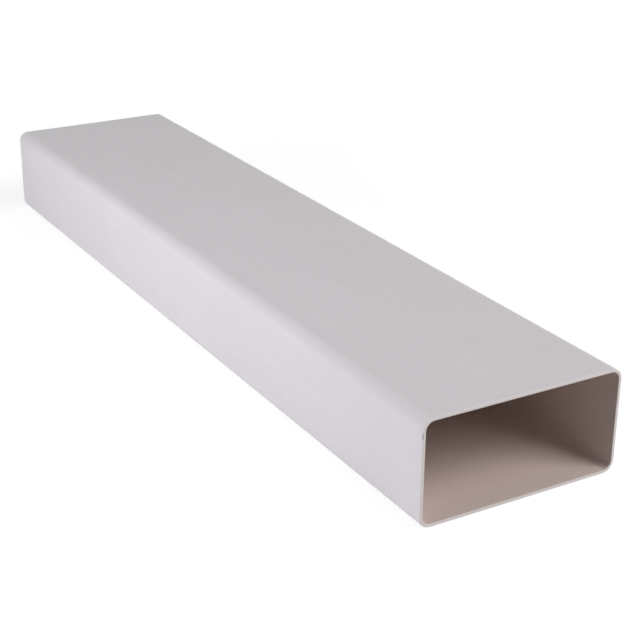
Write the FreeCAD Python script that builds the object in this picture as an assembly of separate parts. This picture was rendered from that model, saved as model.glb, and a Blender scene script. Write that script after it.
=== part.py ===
import FreeCAD, Part
import math
import os

# Flat channel duct: one length of rigid PVC ventilation duct. It is a closed flat box section
# with rounded long corners and an even wall, extruded as one piece and sawn square at both ends.
# Millimetres. X runs across the width, Y along the length and Z up.
# The origin is the middle of the underside, the broad face that the duct lies on.

# Driving dimensions
WIDTH = 110.0           # outside, across the broad faces
HEIGHT = 54.0           # outside, across the narrow faces
LENGTH = 500.0          # from sawn end to sawn end
WALL = 1.6              # even all the way round the section
CORNER_RADIUS = 6.0     # outside radius of the four long corners
EDGE_BREAK = 0.2        # deburred off the sharp edges of the sawn ends

# The deburring of the two sides of a rim leaves at least half of the sawn wall between them.
RIM_CHAMFER = min(EDGE_BREAK, WALL / 4)


def rounded_outline(width, height, radius, underside):
    """Closed outline across the near end, standing on the level underside: four flats and four arcs."""
    near = -LENGTH / 2
    across = width / 2 - radius
    low = underside + radius
    high = underside + height - radius
    arcs = []
    for x, z, start in ((across, high, 0), (-across, high, 90), (-across, low, 180), (across, low, 270)):
        points = []
        for degrees in (start, start + 45, start + 90):
            turn = math.radians(degrees)
            points.append(FreeCAD.Vector(x + radius * math.cos(turn), near, z + radius * math.sin(turn)))
        arcs.append(Part.Arc(*points))
    edges = []
    for arc, following in zip(arcs, arcs[1:] + arcs[:1]):
        edges.append(arc.toShape())
        edges.append(Part.LineSegment(arc.EndPoint, following.StartPoint).toShape())
    return Part.Wire(edges)


def wall_section():
    """The ring of plastic across the duct: concentric corners keep the wall even round each bend."""
    outside = rounded_outline(WIDTH, HEIGHT, CORNER_RADIUS, 0)
    airway = rounded_outline(WIDTH - 2 * WALL, HEIGHT - 2 * WALL, CORNER_RADIUS - WALL, WALL)
    return Part.makeFace([outside, airway], "Part::FaceMakerBullseye")


def rim_edges(tube):
    """The edges of both sawn rims, outside and airway side: those that don't run along the duct."""
    return [edge for edge in tube.Edges if edge.BoundBox.YLength < LENGTH / 2]


def flat_channel_duct():
    """The section drawn out along the length, with both sawn rims deburred."""
    tube = wall_section().extrude(FreeCAD.Vector(0, LENGTH, 0))
    return tube.makeChamfer(RIM_CHAMFER, rim_edges(tube))


os.makedirs("parts", exist_ok=True)
flat_channel_duct().exportStep("parts/flat_channel_duct.step")
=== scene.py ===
import math

import bpy
from mathutils import Euler, Matrix, Vector


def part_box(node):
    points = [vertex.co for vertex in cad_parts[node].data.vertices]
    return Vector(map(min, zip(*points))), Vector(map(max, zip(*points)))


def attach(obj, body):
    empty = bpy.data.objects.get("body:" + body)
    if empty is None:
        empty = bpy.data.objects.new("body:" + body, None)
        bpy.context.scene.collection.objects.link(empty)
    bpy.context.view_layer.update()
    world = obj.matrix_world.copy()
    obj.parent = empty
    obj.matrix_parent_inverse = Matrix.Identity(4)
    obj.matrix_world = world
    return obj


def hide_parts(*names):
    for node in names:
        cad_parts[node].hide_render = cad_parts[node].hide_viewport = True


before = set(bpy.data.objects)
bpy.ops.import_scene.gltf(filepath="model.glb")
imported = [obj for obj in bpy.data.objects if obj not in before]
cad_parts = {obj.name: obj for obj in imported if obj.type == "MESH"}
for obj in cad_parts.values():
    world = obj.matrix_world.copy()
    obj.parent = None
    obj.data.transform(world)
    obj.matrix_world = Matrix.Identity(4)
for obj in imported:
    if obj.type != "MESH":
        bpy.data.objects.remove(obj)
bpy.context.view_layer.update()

# A length of flat channel duct: one closed box section of rigid PVC, extruded and sawn to length.
# Metres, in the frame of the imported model: X across the width, Y along the length, Z up.

MM = 0.001

# Sizes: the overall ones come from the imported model, and the section repeats its wall and corners
NODE = "flat_channel_duct"
low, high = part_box(NODE)
WIDTH, LENGTH, HEIGHT = high - low
WALL = 1.6 * MM
CORNER_RADIUS = 6.0 * MM
RIM_BREAK = 0.3 * MM        # rubbed off the outer edge of a sawn rim
AIRWAY_BREAK = 0.15 * MM    # and off its inner edge

# How finely the mesh follows the shape
CORNER_STEPS = 16
RIM_STEPS = 3
STEP_ROUND = 1.0 * MM       # longest mesh edge round the section
STEP_ALONG = 12.5 * MM      # longest mesh edge along the length
SAWN_FACING = 0.5           # a face counts as sawn where its normal lies more than this along the length


def linear(hex_colour):
    """An sRGB hex colour as linear red, green, blue and alpha."""
    channels = [int(hex_colour[i:i + 2], 16) / 255 for i in (1, 3, 5)]
    return [c / 12.92 if c <= 0.04045 else ((c + 0.055) / 1.055) ** 2.4 for c in channels] + [1.0]


def add(tree, kind, inputs=None, **settings):
    """One node: settings are its own properties, inputs its sockets, each a value or a feeding socket."""
    made = tree.nodes.new(kind)
    for name, value in settings.items():
        setattr(made, name, value)
    for key, value in (inputs or {}).items():
        if isinstance(value, bpy.types.NodeSocket):
            tree.links.new(value, made.inputs[key])
        else:
            made.inputs[key].default_value = value
    return made


def empty_material(name):
    """A new material with an empty node tree, and that tree."""
    material = bpy.data.materials.new(name)
    material.use_nodes = True
    material.node_tree.nodes.clear()
    return material, material.node_tree


# Extruded rigid PVC. It leaves the die off-white and satin, with faint lines drawn along the length
# and a slow mottle in its tone. The airway side gets painted shade: a warmer, duller colour that stands
# in for the dim, warm light bounced inside the duct. The saw leaves the ends chalky, pale and finely scored,
# and their colour is paler still as a painted highlight along the rim.
SKIN = "#E8E3E4"
SKIN_SHADE = "#E4DFE0"
# painted shade: the airway side's warmer, duller colour stands in for light bounced inside the duct
AIRWAY_PAINTED_SHADE = "#E1D1C9"
# partly the sawn ends' real chalky paleness, partly a painted highlight that brightens the rim
SAWN_END_WITH_PAINTED_HIGHLIGHT = "#FCF6F1"
RIGID_PVC_IOR = 1.53
SATIN = 0.38, 0.52          # roughness across the drawn lines
CHALKY = 0.65, 0.85         # roughness across the saw scores
DRAW_LINE = 1.6 * MM        # the real lines are far finer: drawn this coarse to show at all
DRAW_LINE_RUN = 300 * MM
DRAW_LINE_DEPTH = 0.003 * MM
MOTTLE = 40 * MM
UNEVEN = 0.7, 1.3           # lines and mottle added together seldom leave this span
SAW_SCORE = 0.6 * MM        # the real tooth marks are near 0.1 mm: drawn coarser to show
SAW_SCORE_RUN = 8 * MM
SAW_SCORE_DEPTH = 0.05 * MM
SAW_LEAN = math.radians(24)

# Two small dark spots on the outer edge of the near rim: middle, and reach each way in X, Y and Z
DARK_SPOT = "#A9A59E"
DARK_SPOT_CORE = 0.3            # share of the reach that takes the spot's full dark colour
DARK_SPOTS = (
    ((WIDTH / 2, -LENGTH / 2, 29 * MM), (0.8 * MM, 0.8 * MM, 0.8 * MM)),
    ((-WIDTH / 2, -LENGTH / 2, 46 * MM), (0.6 * MM, 0.6 * MM, 2.4 * MM)),
)


def extruded_rigid_pvc():
    material, tree = empty_material("extruded_rigid_pvc")
    place = add(tree, "ShaderNodeTexCoord").outputs["Object"]
    sawn = add(tree, "ShaderNodeAttribute", attribute_name="sawn").outputs["Fac"]
    airway = add(tree, "ShaderNodeAttribute", attribute_name="airway").outputs["Fac"]

    # Patterns: lines along the length, a slow mottle, and scores that lean across the sawn ends
    line_scale = (1 / DRAW_LINE, 1 / DRAW_LINE_RUN, 1 / DRAW_LINE)
    drawn = add(tree, "ShaderNodeMapping", {"Vector": place, "Scale": line_scale}).outputs[0]
    lines = add(tree, "ShaderNodeTexNoise", {"Vector": drawn, "Scale": 1.0, "Detail": 3.0}).outputs["Fac"]
    mottle = add(tree, "ShaderNodeTexNoise", {
        "Vector": place, "Scale": 1 / MOTTLE, "Detail": 2.0}).outputs["Fac"]
    leaned = add(tree, "ShaderNodeMapping", {"Vector": place, "Rotation": (0, SAW_LEAN, 0)}).outputs[0]
    score_scale = (1 / SAW_SCORE, 1 / SAW_SCORE, 1 / SAW_SCORE_RUN)
    scored = add(tree, "ShaderNodeMapping", {"Vector": leaned, "Scale": score_scale}).outputs[0]
    scores = add(tree, "ShaderNodeTexNoise", {"Vector": scored, "Scale": 1.0, "Detail": 2.0}).outputs["Fac"]

    # Colour: over the outer skin go its uneven tone, the airway's painted shade, the sawn ends (pale, with
    # a painted highlight) and the dark spots, in that order
    uneven = add(tree, "ShaderNodeMath", {0: lines, 1: mottle}, operation="ADD").outputs[0]
    shade = add(tree, "ShaderNodeMapRange", {
        "Value": uneven, "From Min": UNEVEN[0], "From Max": UNEVEN[1]}).outputs[0]
    layers = [(shade, SKIN_SHADE), (airway, AIRWAY_PAINTED_SHADE), (sawn, SAWN_END_WITH_PAINTED_HIGHLIGHT)]
    for middle, reach in DARK_SPOTS:
        about = {"Vector": place, "Location": middle, "Scale": reach}
        out = add(tree, "ShaderNodeMapping", about, vector_type="TEXTURE").outputs[0]
        away = add(tree, "ShaderNodeVectorMath", {0: out}, operation="LENGTH").outputs["Value"]
        fade = {"Value": away, "From Min": DARK_SPOT_CORE, "From Max": 1.0, "To Min": 1.0, "To Max": 0.0}
        # each dark spot: its full colour within the core, fading to nothing at its reach
        rubbed = add(tree, "ShaderNodeMapRange", fade).outputs[0]
        layers.append((rubbed, DARK_SPOT))
    colour = linear(SKIN)
    for cover, tint in layers:
        laid_over = {"Factor": cover, "A": colour, "B": linear(tint)}
        colour = add(tree, "ShaderNodeMix", laid_over, data_type="RGBA").outputs["Result"]

    # Gloss: satin along the lines, chalky where sawn
    satin = add(tree, "ShaderNodeMapRange", {
        "Value": lines, "To Min": SATIN[0], "To Max": SATIN[1]}).outputs[0]
    chalky = add(tree, "ShaderNodeMapRange", {
        "Value": scores, "To Min": CHALKY[0], "To Max": CHALKY[1]}).outputs[0]
    roughness = add(tree, "ShaderNodeMix", {"Factor": sawn, "A": satin, "B": chalky}).outputs["Result"]

    # Relief, in metres
    line_height = add(tree, "ShaderNodeMath", {
        0: lines, 1: DRAW_LINE_DEPTH}, operation="MULTIPLY").outputs[0]
    score_height = add(tree, "ShaderNodeMath", {
        0: scores, 1: SAW_SCORE_DEPTH}, operation="MULTIPLY").outputs[0]
    height = add(tree, "ShaderNodeMix", {
        "Factor": sawn, "A": line_height, "B": score_height}).outputs["Result"]
    relief = add(tree, "ShaderNodeBump", {"Height": height, "Distance": 1.0}).outputs["Normal"]

    pvc = add(tree, "ShaderNodeBsdfPrincipled", {
        "Base Color": colour, "Roughness": roughness, "IOR": RIGID_PVC_IOR, "Normal": relief})
    add(tree, "ShaderNodeOutputMaterial", {"Surface": pvc.outputs[0]})
    return material


def divided(tree, curve, spacing):
    """The curve with each straight run cut into even lengths, none longer than the spacing."""
    here = add(tree, "GeometryNodeInputPosition").outputs[0]
    following = add(tree, "GeometryNodeOffsetPointInCurve", {"Offset": 1}).outputs["Point Index"]
    there = add(tree, "GeometryNodeFieldAtIndex", {
        "Value": here, "Index": following}, data_type="FLOAT_VECTOR", domain="POINT").outputs[0]
    run = add(tree, "ShaderNodeVectorMath", {0: here, 1: there}, operation="DISTANCE").outputs["Value"]
    count = add(tree, "ShaderNodeMath", {0: run, 1: spacing}, operation="DIVIDE").outputs[0]
    cuts = add(tree, "FunctionNodeFloatToInt", {0: count}, rounding_mode="FLOOR").outputs[0]
    return add(tree, "GeometryNodeSubdivideCurve", {"Curve": curve, "Cuts": cuts}).outputs[0]


def duct_wall_tree():
    """Carries the long thin section of the wall, with its deburred ends, round the duct's outline.

    The outline lies in X and Y with the length along Z, and the last step turns it to lie along Y.
    """
    tree = bpy.data.node_groups.new("duct_wall", "GeometryNodeTree")
    sizes = ("Width", "Height", "Length", "Wall", "Corner Radius", "Rim Break", "Airway Break")
    spacings = ("Step Round", "Step Along")
    for name in sizes + spacings:
        tree.interface.new_socket(name, in_out="INPUT", socket_type="NodeSocketFloat")
    for name in ("Corner Steps", "Rim Steps"):
        tree.interface.new_socket(name, in_out="INPUT", socket_type="NodeSocketInt")
    tree.interface.new_socket("Material", in_out="INPUT", socket_type="NodeSocketMaterial")
    tree.interface.new_socket("Geometry", in_out="OUTPUT", socket_type="NodeSocketGeometry")
    given = add(tree, "NodeGroupInput").outputs

    # The outline down the middle of the wall
    mid_width = add(tree, "ShaderNodeMath", {
        0: given["Width"], 1: given["Wall"]}, operation="SUBTRACT").outputs[0]
    mid_height = add(tree, "ShaderNodeMath", {
        0: given["Height"], 1: given["Wall"]}, operation="SUBTRACT").outputs[0]
    half_wall = add(tree, "ShaderNodeMath", {0: given["Wall"], 1: 2.0}, operation="DIVIDE").outputs[0]
    mid_radius = add(tree, "ShaderNodeMath", {
        0: given["Corner Radius"], 1: half_wall}, operation="SUBTRACT").outputs[0]
    box = add(tree, "GeometryNodeCurvePrimitiveQuadrilateral", {"Width": mid_width, "Height": mid_height})
    rounded = add(tree, "GeometryNodeFilletCurve", {
        "Curve": box.outputs[0], "Count": given["Corner Steps"], "Radius": mid_radius}, mode="POLY")
    outline = divided(tree, rounded.outputs[0], given["Step Round"])

    # The wall cut lengthwise: as wide as the wall, as tall as the duct is long, outer side at +X
    strip = add(tree, "GeometryNodeCurvePrimitiveQuadrilateral", {
        "Width": given["Wall"], "Height": given["Length"]})
    here = add(tree, "GeometryNodeInputPosition").outputs[0]
    across = add(tree, "ShaderNodeSeparateXYZ", {0: here}).outputs["X"]
    outer = add(tree, "ShaderNodeMath", {0: across, 1: 0.0}, operation="GREATER_THAN").outputs[0]
    breaks = {"Factor": outer, "A": given["Airway Break"], "B": given["Rim Break"]}
    rubbed = add(tree, "ShaderNodeMix", breaks).outputs["Result"]
    deburred = add(tree, "GeometryNodeFilletCurve", {
        "Curve": strip.outputs[0], "Count": given["Rim Steps"], "Radius": rubbed}, mode="POLY")
    wall = divided(tree, deburred.outputs[0], given["Step Along"])
    swept = add(tree, "GeometryNodeCurveToMesh", {"Curve": outline, "Profile Curve": wall}).outputs[0]

    # Marks for the material: which faces the saw cut, and which face the airway, where shade is painted
    facing = add(tree, "GeometryNodeInputNormal").outputs["True Normal"]
    lengthwise = add(tree, "ShaderNodeSeparateXYZ", {0: facing}).outputs["Z"]
    endwise = add(tree, "ShaderNodeMath", {0: lengthwise}, operation="ABSOLUTE").outputs[0]
    sawn = add(tree, "ShaderNodeMath", {0: endwise, 1: SAWN_FACING}, operation="GREATER_THAN").outputs[0]
    from_axis = add(tree, "ShaderNodeVectorMath", {0: here, 1: (1, 1, 0)}, operation="MULTIPLY").outputs[0]
    outward = add(tree, "ShaderNodeVectorMath", {
        0: facing, 1: from_axis}, operation="DOT_PRODUCT").outputs["Value"]
    inward = add(tree, "ShaderNodeMath", {0: outward, 1: 0.0}, operation="LESS_THAN").outputs[0]
    marked = swept
    for name, mask in (("sawn", sawn), ("airway", inward)):
        marked = add(tree, "GeometryNodeStoreNamedAttribute", {
            "Geometry": marked, "Name": name, "Value": mask}, data_type="FLOAT", domain="FACE").outputs[0]

    # Laid along Y with its underside on the floor
    half_height = add(tree, "ShaderNodeMath", {0: given["Height"], 1: 2.0}, operation="DIVIDE").outputs[0]
    raised = add(tree, "ShaderNodeCombineXYZ", {"Z": half_height}).outputs[0]
    laid = add(tree, "GeometryNodeTransform", {
        "Geometry": marked, "Translation": raised, "Rotation": Euler((math.pi / 2, 0, 0))}).outputs[0]
    smooth = add(tree, "GeometryNodeSetShadeSmooth", {"Geometry": laid}).outputs[0]
    real = add(tree, "GeometryNodeRealizeInstances", {"Geometry": smooth}).outputs[0]
    dressed = add(tree, "GeometryNodeSetMaterial", {
        "Geometry": real, "Material": given["Material"]}).outputs[0]
    add(tree, "NodeGroupOutput", {0: dressed})
    return tree


def made_by(tree, name, values):
    """A plain mesh piece from a tree, given a value for each of its named inputs."""
    maker = bpy.data.objects.new(name + "_maker", bpy.data.meshes.new(name + "_maker"))
    bpy.context.scene.collection.objects.link(maker)
    modifier = maker.modifiers.new("maker", "NODES")
    modifier.node_group = tree
    for socket in tree.interface.items_tree:
        if socket.in_out == "INPUT":
            modifier[socket.identifier] = values[socket.name]
    # Large flats keep their own shading right up to the rounded edges
    flats = maker.modifiers.new("flats", "WEIGHTED_NORMAL")
    flats.weight = 100
    graph = bpy.context.evaluated_depsgraph_get()
    mesh = bpy.data.meshes.new_from_object(
        maker.evaluated_get(graph), preserve_all_data_layers=True, depsgraph=graph)
    mesh.name = name
    bpy.data.objects.remove(maker)
    piece = bpy.data.objects.new(name, mesh)
    bpy.context.scene.collection.objects.link(piece)
    return piece


duct = made_by(duct_wall_tree(), "duct_wall", {
    "Width": WIDTH, "Height": HEIGHT, "Length": LENGTH, "Wall": WALL, "Corner Radius": CORNER_RADIUS,
    "Rim Break": RIM_BREAK, "Airway Break": AIRWAY_BREAK, "Step Round": STEP_ROUND, "Step Along": STEP_ALONG,
    "Corner Steps": CORNER_STEPS, "Rim Steps": RIM_STEPS, "Material": extruded_rigid_pvc()})
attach(duct, "root")
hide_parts(NODE)


# Floor and background: white to the camera, with the duct's soft shadow
FLOOR_GREY = "#BCBCBC"
FLOOR_HALF = 12.0
FLOOR_DROP = 0.2 * MM               # keeps the floor just clear of the duct's underside
GLOW_NEAR, GLOW_FAR = 0.75, 1.0     # what the camera sees of the floor by itself, lamps apart
FADE_FROM, FADE_TO = 0.35, 1.3      # metres from the middle of the duct, as the lamps fall away


def seen_directly(tree):
    """1 for what the camera sees, straight, mirrored or through something, and 0 for light on the object."""
    path = add(tree, "ShaderNodeLightPath").outputs
    seen = path["Is Camera Ray"]
    for kind in ("Is Glossy Ray", "Is Transmission Ray"):
        seen = add(tree, "ShaderNodeMath", {0: seen, 1: path[kind]}, operation="MAXIMUM").outputs[0]
    return seen


def white_floor():
    material, tree = empty_material("white_floor")
    place = add(tree, "ShaderNodeTexCoord").outputs["Object"]
    away = add(tree, "ShaderNodeVectorMath", {0: place}, operation="LENGTH").outputs["Value"]
    own = add(tree, "ShaderNodeMapRange", {
        "Value": away, "From Min": FADE_FROM, "From Max": FADE_TO, "To Min": GLOW_NEAR, "To Max": GLOW_FAR},
        interpolation_type="SMOOTHSTEP").outputs[0]
    glow = add(tree, "ShaderNodeMath", {0: seen_directly(tree), 1: own}, operation="MULTIPLY").outputs[0]
    card = add(tree, "ShaderNodeBsdfDiffuse", {"Color": linear(FLOOR_GREY)}).outputs[0]
    lit = add(tree, "ShaderNodeEmission", {"Strength": glow}).outputs[0]
    both = add(tree, "ShaderNodeAddShader", {0: card, 1: lit}).outputs[0]
    add(tree, "ShaderNodeOutputMaterial", {"Surface": both})
    return material


floor_mesh = bpy.data.meshes.new("floor")
corners = [(x * FLOOR_HALF, y * FLOOR_HALF, -FLOOR_DROP) for x, y in ((-1, -1), (1, -1), (1, 1), (-1, 1))]
floor_mesh.from_pydata(corners, [], [(0, 1, 2, 3)])
floor_mesh.materials.append(white_floor())
floor = bpy.data.objects.new("floor", floor_mesh)
bpy.context.scene.collection.objects.link(floor)

# The surround: white to the camera, and a weak cool fill for the duct
AMBIENT = 0.126
AMBIENT_TINT = "#E6F3FF"
world = bpy.data.worlds.new("white_surround")
bpy.context.scene.world = world
world.use_nodes = True
sky = world.node_tree
sky.nodes.clear()
fill = add(sky, "ShaderNodeBackground", {"Color": linear(AMBIENT_TINT), "Strength": AMBIENT}).outputs[0]
white = add(sky, "ShaderNodeBackground", {"Color": linear("#FFFFFF"), "Strength": 1.0}).outputs[0]
surround = add(sky, "ShaderNodeMixShader", {0: seen_directly(sky), 1: fill, 2: white}).outputs[0]
add(sky, "ShaderNodeOutputWorld", {"Surface": surround})


def softbox(name, place, aim, size, watts, colour, mirrored):
    """A soft rectangular lamp at a place, turned to a point. Glossy surfaces show it only if mirrored."""
    lamp = bpy.data.lights.new(name, "AREA")
    lamp.shape = "RECTANGLE"
    lamp.size, lamp.size_y = size
    lamp.energy = watts
    lamp.color = linear(colour)[:3]
    holder = bpy.data.objects.new(name, lamp)
    holder.location = place
    holder.visible_glossy = mirrored
    holder.rotation_euler = (Vector(aim) - Vector(place)).to_track_quat("-Z", "Y").to_euler()
    bpy.context.scene.collection.objects.link(holder)


# A key from the front right that reaches into the airway, and two fills for the left side and the far end.
# The fills stand low, where the flat faces would mirror them and burn out to white.
softbox("front_right_softbox", place=(0.89, -1.35, 1.30), aim=(0, -0.25, 0.03), size=(1.2, 1.2),
        watts=24.7, colour="#FFFBFB", mirrored=True)
softbox("left_softbox", place=(-0.72, -0.02, 0.22), aim=(0, -0.02, 0.03), size=(0.4, 0.3),
        watts=3.65, colour="#FBFAFF", mirrored=False)
softbox("back_softbox", place=(0.9, 1.5, 0.18), aim=(0, 0.25, 0.03), size=(0.6, 0.25),
        watts=13.0, colour="#F6F6FF", mirrored=False)

# Camera, fitted to the duct's outline and rim: it looks along +Y, turned right and tipped down
CAMERA_PLACE = Vector((-0.3720, -0.7000, 0.3352))
TURN_RIGHT = math.radians(30.56)
TIP_DOWN = math.radians(23.23)
LEAN_LEFT = math.radians(0.60)
FOCAL_PIXELS = 1456
IMAGE_PIXELS = 640
lens = bpy.data.cameras.new("camera")
lens.lens = FOCAL_PIXELS / IMAGE_PIXELS * lens.sensor_width
camera = bpy.data.objects.new("camera", lens)
heading = Euler((math.pi / 2 - TIP_DOWN, 0, -TURN_RIGHT)).to_matrix() @ Matrix.Rotation(LEAN_LEFT, 3, "Z")
camera.matrix_world = Matrix.Translation(CAMERA_PLACE) @ heading.to_4x4()
bpy.context.scene.collection.objects.link(camera)
bpy.context.scene.camera = camera
bpy.context.scene.view_settings.view_transform = "Standard"
